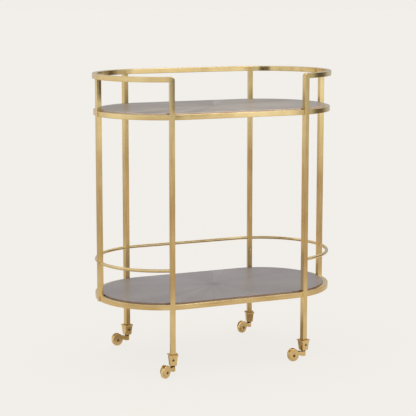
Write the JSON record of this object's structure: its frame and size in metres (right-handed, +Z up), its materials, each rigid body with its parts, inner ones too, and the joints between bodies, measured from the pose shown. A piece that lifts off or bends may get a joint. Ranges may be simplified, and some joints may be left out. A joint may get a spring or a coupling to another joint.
{
  "type": "food service trolley",
  "caption": "Oval serving trolley with an upper and a lower shelf, a top rail open at the front, a guard rod and swivel castors.",
  "frame": {"origin": "on the floor under the middle of the oval frame", "axes": "+Z up, +X along the length to the right, -Y is the open front"},
  "size_m": [0.74, 0.4302, 0.86],
  "materials": {
    "frame_brass": "satin brushed, lacquered",
    "castor_brass": "cast, satin polished",
    "swivel_steel": "blackened",
    "fastener_steel": "zinc plated",
    "shelf_veneer": "grey-stained radial veneer, satin lacquer"
  },
  "bodies": {
    "frame": {"front_left_post": "frame_brass", "front_right_post": "frame_brass", "rear_left_post": "frame_brass", "rear_right_post": "frame_brass", "left_end_post": "frame_brass", "right_end_post": "frame_brass", "top_rail_left": "frame_brass", "top_rail_right": "frame_brass", "top_rail_rear": "frame_brass", "guard_rod_rear": "frame_brass", "guard_rod_front_left": "frame_brass", "guard_rod_front_right": "frame_brass", "guard_rod_rear_left": "frame_brass", "guard_rod_rear_right": "frame_brass", "lower_ring_front": "frame_brass", "lower_ring_rear": "frame_brass", "lower_ring_front_left": "frame_brass", "lower_ring_front_right": "frame_brass", "lower_ring_rear_left": "frame_brass", "lower_ring_rear_right": "frame_brass", "lower_shelf_panel": "shelf_veneer", "lower_shelf_tabs": "frame_brass", "lower_shelf_screws": "fastener_steel", "upper_ring_front": "frame_brass", "upper_ring_rear": "frame_brass", "upper_ring_front_left": "frame_brass", "upper_ring_front_right": "frame_brass", "upper_ring_rear_left": "frame_brass", "upper_ring_rear_right": "frame_brass", "upper_shelf_panel": "shelf_veneer", "upper_shelf_tabs": "frame_brass", "upper_shelf_screws": "fastener_steel", "front_left_castor_cup": "castor_brass", "front_left_castor_pin": "fastener_steel", "front_left_castor_washer": "swivel_steel", "front_right_castor_cup": "castor_brass", "front_right_castor_pin": "fastener_steel", "front_right_castor_washer": "swivel_steel", "rear_left_castor_cup": "castor_brass", "rear_left_castor_pin": "fastener_steel", "rear_left_castor_washer": "swivel_steel", "rear_right_castor_cup": "castor_brass", "rear_right_castor_pin": "fastener_steel", "rear_right_castor_washer": "swivel_steel", "castor_screws": "castor_brass"},
    "front_left_fork": {"front_left_castor_fork": "castor_brass", "front_left_castor_axle": "castor_brass"},
    "front_left_wheel": {"front_left_castor_wheel": "castor_brass"},
    "front_right_fork": {"front_right_castor_fork": "castor_brass", "front_right_castor_axle": "castor_brass"},
    "front_right_wheel": {"front_right_castor_wheel": "castor_brass"},
    "rear_left_fork": {"rear_left_castor_fork": "castor_brass", "rear_left_castor_axle": "castor_brass"},
    "rear_left_wheel": {"rear_left_castor_wheel": "castor_brass"},
    "rear_right_fork": {"rear_right_castor_fork": "castor_brass", "rear_right_castor_axle": "castor_brass"},
    "rear_right_wheel": {"rear_right_castor_wheel": "castor_brass"}
  },
  "joints": [
    {"name": "front_left_swivel", "type": "hinge", "parent": "frame", "child": "front_left_fork", "pos_m": [-0.21092, -0.1909, 0.0225], "axis": [0, 0, 1], "continuous": true},
    {"name": "front_left_spin", "type": "hinge", "parent": "front_left_fork", "child": "front_left_wheel", "pos_m": [-0.24037, -0.2079, 0.0175], "axis": [0.5, -0.866, 0], "continuous": true},
    {"name": "front_right_swivel", "type": "hinge", "parent": "frame", "child": "front_right_fork", "pos_m": [0.21092, -0.1909, 0.0225], "axis": [0, 0, 1], "continuous": true},
    {"name": "front_right_spin", "type": "hinge", "parent": "front_right_fork", "child": "front_right_wheel", "pos_m": [0.17693, -0.19031, 0.0175], "axis": [-0.0175, -0.9998, 0], "continuous": true},
    {"name": "rear_left_swivel", "type": "hinge", "parent": "frame", "child": "rear_left_fork", "pos_m": [-0.21092, 0.1909, 0.0225], "axis": [0, 0, 1], "continuous": true},
    {"name": "rear_left_spin", "type": "hinge", "parent": "rear_left_fork", "child": "rear_left_wheel", "pos_m": [-0.24484, 0.18853, 0.0175], "axis": [0.0698, -0.9976, 0], "continuous": true},
    {"name": "rear_right_swivel", "type": "hinge", "parent": "frame", "child": "rear_right_fork", "pos_m": [0.21092, 0.1909, 0.0225], "axis": [0, 0, 1], "continuous": true},
    {"name": "rear_right_spin", "type": "hinge", "parent": "rear_right_fork", "child": "rear_right_wheel", "pos_m": [0.17963, 0.17761, 0.0175], "axis": [0.3907, -0.9205, 0], "continuous": true}
  ]
}
